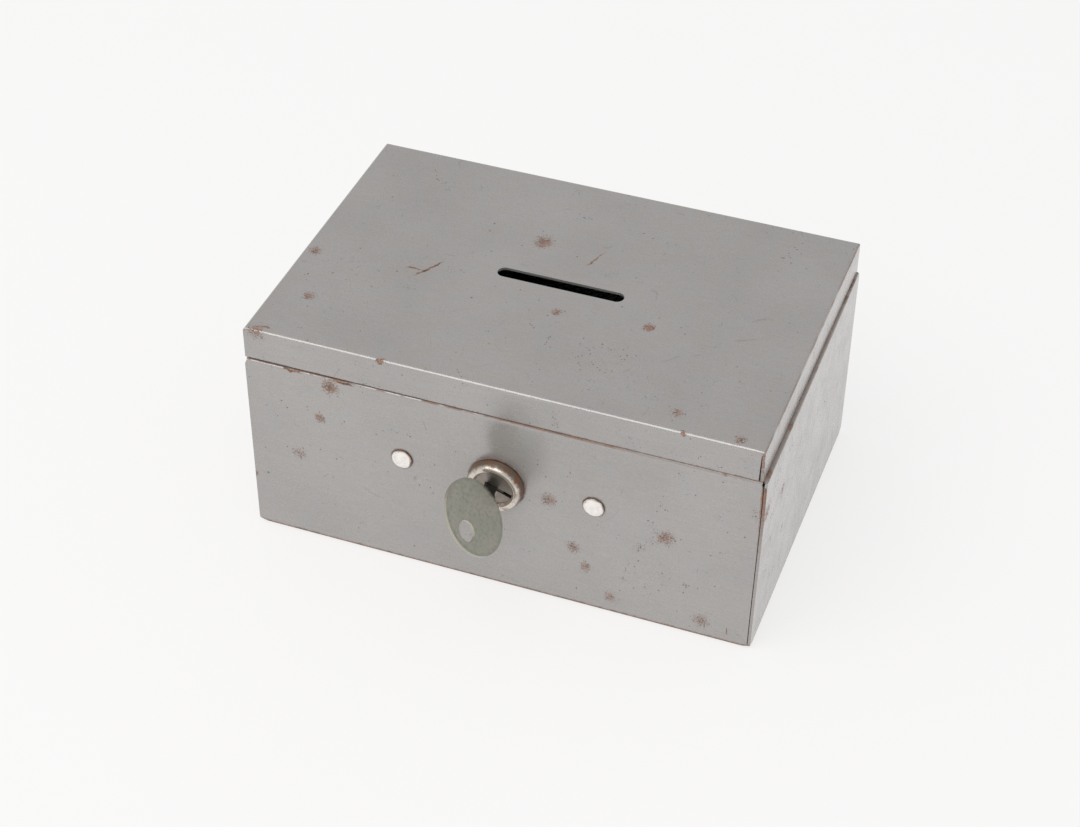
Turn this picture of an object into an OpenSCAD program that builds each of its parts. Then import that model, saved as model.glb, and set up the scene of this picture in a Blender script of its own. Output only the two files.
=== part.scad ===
// Small sheet-steel money box with a hinged lid, a coin slot and a wafer cam lock.
// Millimetres. Origin at the middle of the resting face, +X right, -Y front, +Z up.
// The lid is shut and the lock is in its unlocked position, with the key in it.

/* [Box body] */
// Width of the body, left to right
box_w = 151.8; // [120:0.2:200]
// Depth of the body, front to back
box_d = 101; // [85:0.5:140]
// Height of the whole box with its lid shut
box_h = 71.6; // [70:0.2:90]
// Thickness of the steel sheet
sheet_t = 0.8; // [0.6:0.1:1]
// Outside radius of the folded edges
bend_r = 1.0; // [0.9:0.1:1.5]
// Gap left open where two folded walls meet at a corner
seam_gap = 0.3; // [0.2:0.05:0.5]
// Width of the ledge that the lid sits on
ledge_w = 2.6; // [2.4:0.1:3]
// Height of the upstand that stands inside the lid
neck_h = 3.4; // [2:0.1:3.6]

/* [Lid] */
// Height of the lid's skirt, from its lower edge to its top
lid_h = 10; // [9.6:0.2:14]
// How far the lid's ends stand in from the body's
lid_in_x = 1; // [0.6:0.1:1]
// How far the lid's front and back stand in from the body's
lid_in_y = 0.35; // [0:0.05:0.8]
// Sideways play that the lid has taken up on its hinge
lid_shift = -0.3; // [-0.4:0.1:0.4]
// Gap between the lid's edge and the ledge
seat_gap = 0.35; // [0.2:0.05:0.5]

/* [Coin slot] */
// Length of the coin slot
slot_l = 38; // [30:1:45]
// Width of the coin slot
slot_w = 4.4; // [4.2:0.1:5]

/* [Lock] */
// Height of the lock's axis
lock_z = 38.5; // [36:0.5:40]
// Radius of the bezel where it meets the wall
bezel_r = 8.2; // [8.2:0.1:9]
// How far the bezel stands out of the wall
bezel_h = 3.6; // [3.2:0.1:4.5]
// Radius of the round mouth in the bezel
mouth_r = 6.1; // [6:0.05:6.3]
// Depth of the plug's face below the bezel's rim
mouth_depth = 1.2; // [0.8:0.1:1.6]
// Radius of the turning plug
plug_r = 5.5; // [5.5:0.1:5.6]
// Angle of the keyway from level, as seen from the front
keyway_angle = -20; // [-45:1:45]
// Distance of each front rivet from the lock's axis
rivet_pitch = 28.4; // [20:0.2:32]
// Radius of a front rivet's head
rivet_head_r = 3.15; // [2.5:0.05:4]

/* [Key] */
// Radius of the key's round bow
bow_r = 11.1; // [9:0.1:12]
// Distance of the bow's centre from the front wall
bow_reach = 16.3; // [16:0.1:20]
// Angle of the bow, which is wrung round out of the blade's plane
bow_angle = -52; // [-60:1:-20]
// Thickness of the key's plate
key_t = 1.0; // [0.9:0.1:1.2]
// Radius of the key-ring hole
key_hole_r = 3.1; // [2:0.1:4]

/* [Hinge] */
// Length of the hinge
hinge_l = 90; // [70:5:110]
// Outside radius of the rolled knuckles
knuckle_r = 1.7; // [1.6:0.1:1.8]
// Radius of the hinge pin
pin_r = 0.85; // [0.8:0.05:0.9]

/* [Hidden] */
$fn = 96;

enamel = [0.64, 0.63, 0.62];
nickel = [0.78, 0.74, 0.68];
zinc = [0.70, 0.71, 0.72];
brass = [0.78, 0.63, 0.35];
key_steel = [0.53, 0.54, 0.50];

// Overlap of joined solids, and how far a cutter runs past the face that it cuts
eps = 0.01;
past = 1;

// Running and sliding clearances
run_gap = 0.05;
slide_gap = 0.15;

// Body and lid
front_y = -box_d / 2;
split_z = box_h - lid_h;
body_top = split_z - seat_gap;
lid_w = box_w - 2 * lid_in_x;
lid_d = box_d - 2 * lid_in_y;
relief_r = 1.0;
relief_in = 0.75;
relief_depth = 1.2;
seam_l = 5;

// Rivets: the two round the lock, and those of the hinge
rivet_head_h = 1.0;
rivet_shank_r = 1.5;
rivet_tail_r = 2.8;
rivet_tail_h = 0.8;
rivet_hole_r = rivet_shank_r + 0.1;
hinge_rivet_x = [-32, 0, 32];
hinge_rivet_head_r = 2.1;
hinge_rivet_head_h = 0.7;
hinge_rivet_shank_r = 1.05;
hinge_rivet_tail_r = 1.9;
hinge_rivet_tail_h = 0.5;
hinge_hole_r = hinge_rivet_shank_r + run_gap;
body_rivet_z = split_z - 7.6;
lid_rivet_z = split_z + 5.6;

// Lock, measured along its axis; y grows towards the back of the box
rim_y = front_y - bezel_h;
face_y = rim_y + mouth_depth;
face_depth = front_y - face_y;
barrel_l = 20.1;
barrel_end_y = front_y + barrel_l;
barrel_r = 7.6;
barrel_hole_r = barrel_r + 0.1;
bezel_wall_h = 1.2;
bezel_lip_r = 7.5;
bezel_round_r = 1.0;
collar_r = 5.85;
collar_l = 1.0;
collar_gap = 0.07;
plug_end_y = barrel_end_y + 0.4;
plate_t = 1.2;
plate_l = 68;
plate_h = 25;
nut_flat = 20;
nut_t = 2.6;
nut_gap = 0.02;

// Cam on the square tail of the plug, held by a washer and a screw
tail_w = 6;
tail_l = 1.8;
cam_t = 1.6;
cam_reach = 10.5;
cam_tip_r = 3.5;
cam_hub_r = 5.5;
cam_y = plug_end_y + run_gap;
washer_r = 4.6;
washer_t = 0.7;
screw_r = 1.4;
screw_l = 7.8;
screw_head_r = 3;
screw_head_h = 1.8;
screw_slot_w = 0.8;

// Keyway and blade; u runs across the blade, v through its thickness
keyway_u0 = -2.8;
keyway_v = key_t / 2 + 0.12;
keyway_end_y = front_y + 14.5;
blade_u0 = -2.6;
blade_u1 = 3.0;
blade_tip_y = keyway_end_y - 0.6;
blade_root_y = face_y + 0.2;
blade_cuts = [0.9, 0.4, 1.2, 0.6];
cut_w = 1.6;
cut_flank = 1.3;
tip_slope = 2.2;

// Neck of the key, wrung round in small steps, and its bow
neck_u0 = -2.4;
neck_u1 = 1.0;
neck_l = 3.2;
neck_steps = 8;
neck_lap = 0.03;
bow_off = -0.8;
bow_y = front_y - bow_reach;
key_hole_off = bow_off + 0.1;
key_hole_y = bow_y - (bow_r - 5.2);

// Wafers and their springs
wafer_count = 4;
wafer_pitch = 3;
wafer_ys = [for (i = [0:wafer_count - 1]) front_y + 1 + i * wafer_pitch];
wafer_t = 0.7;
wafer_v = 2.3;
wafer_end_r = plug_r - 0.1;
wafer_slot_t = wafer_t + 0.2;
wafer_travel = 0.6;
window_u = 3.5;
window_v = 0.85;
ear_w = 0.8;
ear_v = 4.0;
ear_slot_u = -1.2;
spring_v = 3.3;
spring_r = 0.55;
spring_wire_r = 0.12;
spring_u0 = 0.45;
spring_u1 = 2.9;
spring_turns = 5;
spring_gap = 0.1;

// Lid catch: its lip stands just below the cam arm's locked place
catch_t = 1.2;
catch_x = 15;
catch_y0 = plug_end_y - 3;
catch_y1 = catch_y0 + 8;
catch_lip_x = 8.5;
catch_lip_t = 1.8;
catch_lip_top = lock_z - cam_tip_r - 0.4;
catch_hole_r = 2;
catch_hole_z = lock_z + 13.5;

// Hinge
pivot_y = box_d / 2 + 2.2;
pivot_z = split_z - 0.1;
leaf_t = 0.8;
body_leaf_z = split_z - 12.6;
lid_leaf_z = box_h - 1.6;
knuckles = 5;
knuckle_gap = 0.3;
knuckle_pitch = hinge_l / knuckles;
pin_grip = 0.02;
pin_end = 0.6;
stop_root = 1.2;
stop_reach = 2.7;
stop_t = 0.7;

// A block from one corner to the other
module block(low, high) {
    translate(low)
        cube(high - low);
}

// A block centred on X, with its own Y and Z limits
module block_x(w, y0, y1, z0, z1) {
    block([-w / 2, y0, z0], [w / 2, y1, z1]);
}

// A cylinder along Y, from y0 to y1, on the axis x, z
module rod_y(r, y0, y1, x = 0, z = 0) {
    translate([x, y0, z])
        rotate([-90, 0, 0])
            cylinder(r = r, h = y1 - y0);
}

// A cylinder along X from x0, on the axis y, z
module rod_x(r, x0, l, y, z) {
    translate([x0, y, z])
        rotate([0, 90, 0])
            cylinder(r = r, h = l);
}

// Outline of a bar with its corners rounded at the top, the bottom or both
module round_bar(w, z0, z1, r_low, r_high) {
    difference() {
        translate([-w / 2, z0])
            square([w, z1 - z0]);
        for (side = [-1, 1]) {
            if (r_low > 0)
                corner_waste(side * w / 2, z0, side, -1, r_low);
            if (r_high > 0)
                corner_waste(side * w / 2, z1, side, 1, r_high);
        }
    }
}

// What a rounding of radius r takes off a square corner at x, z
module corner_waste(x, z, sx, sz, r) {
    difference() {
        translate([x - sx * r / 2, z - sz * r / 2])
            square(r + 2 * eps, center = true);
        translate([x - sx * r, z - sz * r])
            circle(r = r);
    }
}

// A box whose folded edges along X and Y are rounded
module folded_box(w, d, z0, z1, r_low, r_high) {
    intersection() {
        translate([0, d / 2, 0])
            rotate([90, 0, 0])
                linear_extrude(height = d)
                    round_bar(w, z0, z1, r_low, r_high);
        translate([-w / 2, 0, 0])
            rotate([90, 0, 90])
                linear_extrude(height = w)
                    round_bar(d, z0, z1, r_low, r_high);
    }
}

// The four thin gaps where folded walls meet at the corners
module corner_seams(w, d, z0, z1) {
    for (sx = [-1, 1], sy = [-1, 1])
        translate([sx * w / 2, sy * d / 2, z0])
            rotate([0, 0, sx * sy * 45])
                block([-seam_l / 2, -seam_gap / 2, 0], [seam_l / 2, seam_gap / 2, z1 - z0]);
}

// Low domed rivet along Y from its seat: outer head, shank and flattened inner head
module rivet_y(head_r, head_h, shank_r, grip, tail_r, tail_h) {
    dome_r = (head_r * head_r + head_h * head_h) / (2 * head_h);
    intersection() {
        translate([0, dome_r - head_h, 0])
            sphere(r = dome_r);
        rod_y(head_r, -head_h - past, 0);
    }
    rod_y(shank_r, -eps, grip + eps);
    rod_y(tail_r, grip, grip + tail_h);
}

// Lays the lock's own u, v plane over the box: u along X, v along Z, turned to the keyway
module lock_frame(angle = keyway_angle) {
    translate([0, 0, lock_z])
        rotate([0, -angle, 0])
            children();
}

// ---- Box ----

// Holes in the front wall, or in the plate behind it, for the barrel and the two rivets
module lock_holes(y0, y1) {
    rod_y(barrel_hole_r, y0, y1, 0, lock_z);
    for (side = [-1, 1])
        rod_y(rivet_hole_r, y0, y1, side * rivet_pitch, lock_z);
}

module hinge_holes(y0, y1, z) {
    for (x = hinge_rivet_x)
        rod_y(hinge_hole_r, y0, y1, x, z);
}

// Round notches at the four corners that let the turned-in edges fold
module corner_reliefs() {
    for (sx = [-1, 1], sy = [-1, 1])
        translate([sx * (box_w / 2 - relief_in), sy * (box_d / 2 - relief_in), body_top - relief_depth])
            cylinder(r = relief_r, h = relief_depth + neck_h + past);
}

module body_tray() {
    inner_w = box_w - 2 * sheet_t;
    inner_d = box_d - 2 * sheet_t;
    inner_r = bend_r - sheet_t;
    neck_w = box_w - 2 * ledge_w;
    neck_y = box_d / 2 - ledge_w;
    back_y = box_d / 2;
    color(enamel)
        difference() {
            union() {
                folded_box(box_w, box_d, 0, body_top, bend_r, bend_r);
                block_x(neck_w, -neck_y, neck_y, body_top - eps, body_top + neck_h);
            }
            folded_box(inner_w, inner_d, sheet_t, body_top - sheet_t, inner_r, inner_r);
            block_x(neck_w - 2 * sheet_t, -neck_y + sheet_t, neck_y - sheet_t, 2 * sheet_t, box_h);
            corner_seams(box_w, box_d, bend_r, body_top + neck_h + past);
            corner_reliefs();
            lock_holes(front_y - past, front_y + sheet_t + past);
            hinge_holes(back_y - sheet_t - past, back_y + past, body_rivet_z);
        }
}

module coin_slot() {
    translate([0, 0, box_h - 3])
        linear_extrude(height = 5) {
            square([slot_l - slot_w, slot_w], center = true);
            for (side = [-1, 1])
                translate([side * (slot_l - slot_w) / 2, 0])
                    circle(d = slot_w);
        }
}

module lid_shell() {
    inner_w = lid_w - 2 * sheet_t;
    inner_d = lid_d - 2 * sheet_t;
    low = split_z - past;
    color(enamel)
        difference() {
            translate([lid_shift, 0, 0])
                difference() {
                    folded_box(lid_w, lid_d, split_z, box_h, 0, bend_r);
                    folded_box(inner_w, inner_d, low, box_h - sheet_t, 0, bend_r - sheet_t);
                    corner_seams(lid_w, lid_d, low, box_h - bend_r);
                }
            coin_slot();
            hinge_holes(lid_d / 2 - sheet_t - past, lid_d / 2 + past, lid_rivet_z);
        }
}

// Hook plate under the lid: foot against the roof, leg and a lip
module lid_catch() {
    roof_z = box_h - sheet_t;
    x1 = catch_x + catch_t;
    lip_z = catch_lip_top - catch_lip_t;
    color(zinc)
        difference() {
            union() {
                block([catch_lip_x, catch_y0, roof_z - catch_t], [x1, catch_y1, roof_z]);
                block([catch_x, catch_y0, lip_z], [x1, catch_y1, roof_z]);
                block([catch_lip_x, catch_y0 + 1, lip_z], [x1, catch_y1 - 1, catch_lip_top]);
            }
            rod_x(catch_hole_r, catch_x - past, catch_t + 2 * past, (catch_y0 + catch_y1) / 2, catch_hole_z);
        }
}

// ---- Hinge ----

// Left end of knuckle number i, counted from the left
function knuckle_x(i) = -hinge_l / 2 + i * knuckle_pitch + knuckle_gap / 2;

module knuckle(i) {
    rod_x(knuckle_r, knuckle_x(i), knuckle_pitch - knuckle_gap, pivot_y, pivot_z);
}

// Block as wide as knuckle i
module knuckle_web(i, y0, y1, z0, z1) {
    x0 = knuckle_x(i);
    block([x0, y0, z0], [x0 + knuckle_pitch - knuckle_gap, y1, z1]);
}

module hinge_bore(r) {
    rod_x(r, -hinge_l / 2 - past, hinge_l + 2 * past, pivot_y, pivot_z);
}

module hinge_leaf_body() {
    y0 = box_d / 2;
    y1 = y0 + leaf_t;
    web_z = pivot_z - knuckle_r;
    color(enamel)
        difference() {
            union() {
                block_x(hinge_l - knuckle_gap, y0, y1, body_leaf_z, web_z - 0.4);
                for (i = [0, 2, 4]) {
                    knuckle(i);
                    knuckle_web(i, y0, y1, web_z - 0.5, pivot_z - 0.5);
                    knuckle_web(i, y0, pivot_y, web_z, web_z + leaf_t);
                }
            }
            hinge_bore(pin_r + pin_grip);
            hinge_holes(y0 - past, y1 + past, body_rivet_z);
        }
}

// The fins behind its knuckles are the stops that meet the other leaf when the lid is open
module hinge_leaf_lid() {
    y0 = lid_d / 2;
    y1 = y0 + leaf_t;
    web_z = pivot_z + knuckle_r;
    color(enamel)
        difference() {
            union() {
                block_x(hinge_l - knuckle_gap, y0, y1, web_z + 0.4, lid_leaf_z);
                for (i = [1, 3]) {
                    knuckle(i);
                    knuckle_web(i, y0, y1, web_z - leaf_t, web_z + 0.5);
                    knuckle_web(i, y0, pivot_y, web_z - leaf_t, web_z);
                    knuckle_web(i, pivot_y + stop_root, pivot_y + stop_reach,
                        pivot_z - stop_t / 2, pivot_z + stop_t / 2);
                }
            }
            hinge_bore(pin_r + run_gap);
            hinge_holes(y0 - past, y1 + past, lid_rivet_z);
        }
}

module hinge_pin() {
    color(zinc)
        rod_x(pin_r, -hinge_l / 2 - pin_end, hinge_l + 2 * pin_end, pivot_y, pivot_z);
}

// Hinge rivets, with their domed heads outside, at the back
module hinge_rivet_row(back_y, z) {
    color(zinc)
        for (x = hinge_rivet_x)
            translate([x, back_y + leaf_t, z])
                rotate([0, 0, 180])
                    rivet_y(hinge_rivet_head_r, hinge_rivet_head_h, hinge_rivet_shank_r,
                        leaf_t + sheet_t, hinge_rivet_tail_r, hinge_rivet_tail_h);
}

module hinge_rivets_body() {
    hinge_rivet_row(box_d / 2, body_rivet_z);
}

module hinge_rivets_lid() {
    hinge_rivet_row(lid_d / 2, lid_rivet_z);
}

// ---- Lock mounting ----

module lock_plate() {
    y0 = front_y + sheet_t;
    color(zinc)
        difference() {
            block_x(plate_l, y0, y0 + plate_t, lock_z - plate_h / 2, lock_z + plate_h / 2);
            lock_holes(y0 - past, y0 + plate_t + past);
        }
}

module lock_rivets() {
    color(nickel)
        for (side = [-1, 1])
            translate([side * rivet_pitch, front_y, lock_z])
                rivet_y(rivet_head_r, rivet_head_h, rivet_shank_r, sheet_t + plate_t,
                    rivet_tail_r, rivet_tail_h);
}

// Outline of the bezel and barrel; its second number is the distance in front of the wall
module housing_outline() {
    core_r = mouth_r - 1.5;
    collar_back = face_depth - collar_l - run_gap;
    collar_bore = collar_r + collar_gap;
    difference() {
        union() {
            polygon([
                [core_r, 0], [bezel_r, 0], [bezel_r, bezel_wall_h],
                [bezel_lip_r, bezel_h - bezel_round_r],
                [bezel_lip_r - bezel_round_r, bezel_h], [core_r, bezel_h]
            ]);
            translate([bezel_lip_r - bezel_round_r, bezel_h - bezel_round_r])
                circle(r = bezel_round_r);
            translate([plug_r - past, -barrel_l])
                square([barrel_r - plug_r + past, barrel_l + eps]);
        }
        translate([0, -barrel_l - past])
            square([plug_r + run_gap, barrel_l + bezel_h + 2 * past]);
        polygon([
            [0, collar_back], [collar_bore, collar_back], [collar_bore, face_depth],
            [mouth_r, bezel_h + eps], [0, bezel_h + eps]
        ]);
    }
}

// Crossed grooves in the barrel take the wafers' ends in both of the plug's places
module lock_housing() {
    groove_u = plug_r + wafer_travel + 0.2;
    groove_v = wafer_v + slide_gap;
    groove_y = wafer_ys[0] - 0.6;
    color(nickel)
        lock_frame()
            difference() {
                translate([0, front_y, 0])
                    rotate([90, 0, 0])
                        rotate_extrude()
                            housing_outline();
                for (turn = [0, 90])
                    rotate([0, turn, 0])
                        block([-groove_u, groove_y, -groove_v], [groove_u, barrel_end_y + past, groove_v]);
            }
}

module lock_nut() {
    y0 = front_y + sheet_t + plate_t;
    color(zinc)
        translate([0, y0, lock_z])
            rotate([-90, 0, 0])
                difference() {
                    cylinder(d = nut_flat / cos(30), h = nut_t, $fn = 6);
                    translate([0, 0, -past])
                        cylinder(r = barrel_r + nut_gap, h = nut_t + 2 * past);
                }
}

// ---- Plug, cam and key ----

// Half-turned for every other wafer, so that their springs sit on both sides
module wafer_place(i) {
    translate([0, wafer_ys[i], 0])
        rotate([0, (i % 2) * 180, 0])
            children();
}

// Room in the plug for one wafer, its ear and its spring
module wafer_pocket() {
    half_t = wafer_slot_t / 2;
    half_v = wafer_v + slide_gap / 2;
    reach = plug_r + past;
    block([-reach, -half_t, -half_v], [reach, half_t, half_v]);
    block([ear_slot_u, -half_t, 0], [spring_u0, half_t, ear_v + slide_gap]);
    translate([spring_u0 - spring_gap, 0, spring_v])
        rotate([0, 90, 0])
            cylinder(r = spring_r + spring_gap, h = spring_u1 - spring_u0 + 2 * spring_gap);
}

module lock_plug() {
    half_tail = tail_w / 2;
    tail_end_y = plug_end_y + tail_l;
    color(brass)
        lock_frame()
            difference() {
                union() {
                    rod_y(plug_r, face_y, plug_end_y);
                    rod_y(collar_r, face_y, face_y + collar_l);
                    block([-half_tail, plug_end_y - eps, -half_tail], [half_tail, tail_end_y, half_tail]);
                }
                block([keyway_u0, face_y - past, -keyway_v], [collar_r + past, keyway_end_y, keyway_v]);
                rod_y(screw_r + run_gap, tail_end_y - screw_l, tail_end_y + past);
                for (i = [0:wafer_count - 1])
                    wafer_place(i)
                        wafer_pocket();
            }
}

// Wafer number i: a plate with round ends, a window for the blade and an ear for its spring
module wafer(i) {
    color(brass)
        lock_frame()
            wafer_place(i)
                translate([0, wafer_t / 2, 0])
                    rotate([90, 0, 0])
                        linear_extrude(height = wafer_t)
                            difference() {
                                union() {
                                    intersection() {
                                        circle(r = wafer_end_r);
                                        square([4 * plug_r, 2 * wafer_v], center = true);
                                    }
                                    translate([-ear_w / 2, 0])
                                        square([ear_w, ear_v]);
                                }
                                square([2 * window_u, 2 * window_v], center = true);
                            }
}

module wafer_1() {
    wafer(0);
}

module wafer_2() {
    wafer(1);
}

module wafer_3() {
    wafer(2);
}

module wafer_4() {
    wafer(3);
}

// One coil spring along u, swept as a many-sided tube
module coil_spring() {
    sides = 6;
    steps = spring_turns * 12;
    mean_r = spring_r - spring_wire_r;
    start_u = spring_u0 + spring_wire_r;
    rise = spring_u1 - spring_wire_r - start_u;
    points = [
        for (k = [0:steps], s = [0:sides - 1])
            let (
                turn = 360 * spring_turns * k / steps,
                around = 360 * s / sides,
                r = mean_r + spring_wire_r * cos(around),
                u = start_u + rise * k / steps + spring_wire_r * sin(around)
            )
            [u, r * cos(turn), r * sin(turn)]
    ];
    walls = [
        for (k = [0:steps - 1], s = [0:sides - 1])
            let (a = k * sides, b = a + sides, next = (s + 1) % sides)
            [a + s, a + next, b + next, b + s]
    ];
    start_cap = [[for (s = [0:sides - 1]) sides - 1 - s]];
    end_cap = [[for (s = [0:sides - 1]) steps * sides + s]];
    polyhedron(points = points, faces = concat(walls, start_cap, end_cap));
}

module wafer_springs() {
    color(zinc)
        lock_frame()
            for (i = [0:wafer_count - 1])
                wafer_place(i)
                    translate([0, 0, spring_v])
                        coil_spring();
}

// Latch arm, square on the plug's tail
module lock_cam() {
    half_hole = tail_w / 2 + run_gap;
    color(zinc)
        difference() {
            union() {
                rod_y(cam_hub_r, cam_y, cam_y + cam_t, 0, lock_z);
                block_x(2 * cam_tip_r, cam_y, cam_y + cam_t, lock_z, lock_z + cam_reach);
                rod_y(cam_tip_r, cam_y, cam_y + cam_t, 0, lock_z + cam_reach);
            }
            lock_frame()
                block_x(2 * half_hole, cam_y - past, cam_y + cam_t + past, -half_hole, half_hole);
        }
}

module cam_washer() {
    y0 = plug_end_y + tail_l;
    color(zinc)
        difference() {
            rod_y(washer_r, y0, y0 + washer_t, 0, lock_z);
            rod_y(screw_r + slide_gap, y0 - past, y0 + washer_t + past, 0, lock_z);
        }
}

module cam_screw() {
    seat_y = plug_end_y + tail_l + washer_t;
    head_y = seat_y + screw_head_h;
    tip_y = plug_end_y + tail_l - screw_l + 0.3;
    color(zinc)
        difference() {
            union() {
                rod_y(screw_head_r, seat_y, head_y, 0, lock_z);
                rod_y(screw_r, tip_y, seat_y + eps, 0, lock_z);
            }
            block_x(screw_slot_w, head_y - 0.8, head_y + past, lock_z - 4, lock_z + 4);
        }
}

// Outline of the blade in y, u: straight back edge, cut front edge and a sloping tip
module blade_outline() {
    start_y = blade_root_y - 0.15;
    slope_y = blade_tip_y - tip_slope;
    half_w = cut_w / 2;
    difference() {
        polygon([
            [start_y, blade_u0], [slope_y, blade_u0], [blade_tip_y, blade_u0 + tip_slope],
            [slope_y, blade_u1], [start_y, blade_u1]
        ]);
        for (i = [0:wafer_count - 1])
            translate([wafer_ys[i], blade_u1 - blade_cuts[i]])
                polygon([
                    [-half_w, 0], [half_w, 0], [half_w + cut_flank, cut_flank],
                    [-half_w - cut_flank, cut_flank]
                ]);
    }
}

// Flat bow with its ring hole, and the straight shank up to the neck
module key_bow() {
    lock_frame(bow_angle)
        difference() {
            union() {
                translate([bow_off, bow_y, -key_t / 2])
                    cylinder(r = bow_r, h = key_t);
                block([neck_u0, bow_y, -key_t / 2], [neck_u1, blade_root_y - neck_l + eps, key_t / 2]);
            }
            translate([key_hole_off, key_hole_y, -past])
                cylinder(r = key_hole_r, h = 2 * past);
        }
}

// Flat key: cut blade in the keyway, a neck wrung round in small steps, and a round bow
module key() {
    step_l = neck_l / neck_steps;
    wring = bow_angle - keyway_angle;
    color(key_steel) {
        lock_frame()
            translate([0, 0, -key_t / 2])
                rotate([0, 0, 90])
                    mirror([0, 1, 0])
                        linear_extrude(height = key_t)
                            blade_outline();
        for (k = [0:neck_steps - 1]) {
            y1 = blade_root_y - k * step_l;
            lock_frame(keyway_angle + wring * (k + 0.5) / neck_steps)
                block([neck_u0, y1 - step_l - neck_lap, -key_t / 2],
                    [neck_u1, y1 + neck_lap, key_t / 2]);
        }
        key_bow();
    }
}

body_tray();
lid_shell();
lid_catch();
hinge_leaf_body();
hinge_leaf_lid();
hinge_pin();
hinge_rivets_body();
hinge_rivets_lid();
lock_plate();
lock_rivets();
lock_housing();
lock_nut();
lock_plug();
wafer_1();
wafer_2();
wafer_3();
wafer_4();
wafer_springs();
lock_cam();
cam_washer();
cam_screw();
key();
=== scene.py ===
import math

import bmesh
import bpy
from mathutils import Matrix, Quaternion, Vector


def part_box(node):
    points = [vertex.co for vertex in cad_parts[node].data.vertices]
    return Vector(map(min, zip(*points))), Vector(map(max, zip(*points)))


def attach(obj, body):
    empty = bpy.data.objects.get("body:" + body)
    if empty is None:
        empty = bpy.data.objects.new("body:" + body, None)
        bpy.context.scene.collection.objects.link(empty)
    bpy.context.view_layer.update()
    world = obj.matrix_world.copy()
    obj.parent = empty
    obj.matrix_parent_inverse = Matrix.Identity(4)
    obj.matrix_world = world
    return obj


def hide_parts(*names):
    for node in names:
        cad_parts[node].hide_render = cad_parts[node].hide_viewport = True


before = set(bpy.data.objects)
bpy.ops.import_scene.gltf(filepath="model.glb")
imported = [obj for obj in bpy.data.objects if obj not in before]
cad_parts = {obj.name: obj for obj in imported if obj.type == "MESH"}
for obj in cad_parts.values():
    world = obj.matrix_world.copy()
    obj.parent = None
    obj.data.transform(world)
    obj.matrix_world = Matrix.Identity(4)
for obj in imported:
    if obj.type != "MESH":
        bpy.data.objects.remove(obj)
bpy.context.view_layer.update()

# All sizes below are millimetres in the CAD frame: +X right, -Y front, +Z up.
MM = 0.001


def span(node):
    """Lowest and highest corner of a CAD node, in millimetres."""
    low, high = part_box(node)
    return low / MM, high / MM


_, BODY_HIGH = span("body_tray")
LID_LOW, LID_HIGH = span("lid_shell")
HOUSING_LOW, HOUSING_HIGH = span("lock_housing")
PLUG_LOW, _ = span("lock_plug")
RIVETS_LOW, RIVETS_HIGH = span("lock_rivets")
KEY_LOW, KEY_HIGH = span("key")

# Sheet metal
SHEET_T = 0.8
BEND_R = 1.0
SHOULDER_R = 0.65
BODY_X = BODY_HIGH.x
BODY_Y = BODY_HIGH.y
FRONT_Y = -BODY_Y
LID_X = (LID_HIGH.x - LID_LOW.x) / 2
LID_Y = LID_HIGH.y
LID_CX = (LID_HIGH.x + LID_LOW.x) / 2
LID_TOP = LID_HIGH.z
SPLIT_Z = LID_LOW.z
SEAT_GAP = 0.35
BODY_TOP = SPLIT_Z - SEAT_GAP
NECK_TOP = BODY_HIGH.z
NECK_BEND_R = 0.5
LEDGE_W = 2.6
LEDGE_IN = 0.45
BULGE = 0.6
LID_SAG = 0.12
SLOT_L = 38
SLOT_W = 4.4
LID_SEAM = 0.15
LID_SEAM_WIDE = 0.5
BODY_SEAM = 0.22
NECK_SEAM = 0.15
BARREL_PLAY = 0.1

# Lock
LOCK_Z = (HOUSING_LOW.z + HOUSING_HIGH.z) / 2
BEZEL_R = HOUSING_HIGH.x
RIM_Y = HOUSING_LOW.y
FACE_Y = PLUG_LOW.y
BARREL_R = 7.6
BARREL_END = HOUSING_HIGH.y
BORE_R = 5.55
MOUTH_R = 6.05
LIP_R = 5.5
RECESS_R = 5.95
CREST_R = 7.0
CREST_W = 1.2
BEZEL_SIDE = 1.2
GROOVE_REACH = 6.3
GROOVE_HALF = 2.45
THREAD_DEPTH = 0.32
THREAD_PITCH = 1.0
RIVET_R = 3.15
RIVET_ROUND = 0.28
SHANK_R = 1.5
TAIL_R = 2.8
RIVET_X = RIVETS_HIGH.x - RIVET_R
KEYWAY_ANGLE = math.radians(-20)

# Key
BOW_ANGLE = math.radians(-52)
BOW_R = 11.1
BOW_U = -0.8
BOW_Y = KEY_LOW.y + BOW_R
HOLE_R = 3.1
HOLE_U = -0.7
HOLE_Y = BOW_Y - 5.9
BLADE_U0 = -2.6
BLADE_U1 = 3.0
NECK_U0 = -2.4
NECK_U1 = 1.0
KEY_T = 1.0
NECK_Y = FACE_Y + 0.2
NECK_L = 3.2
TIP_Y = KEY_HIGH.y
NECK_ROOT = 0.8
CUTS = [0.9, 0.4, 1.2, 0.6]
CUT_HALF = 0.8
WAFER_PITCH = 3
WAFER_YS = [FRONT_Y + 1 + WAFER_PITCH * i for i in range(len(CUTS))]


# ---------------------------------------------------------------- meshes


def mix(a, b, t):
    return a + (b - a) * t


def smooth(low, high, v):
    """0 below low, 1 above high and a smooth turn between them."""
    t = min(1.0, max(0.0, (v - low) / (high - low)))
    return t * t * (3 - 2 * t)


def steps(n, low=-1.0, high=1.0):
    return [mix(low, high, i / n) for i in range(n + 1)]


CRISP_ANGLE = math.radians(35)


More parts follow.
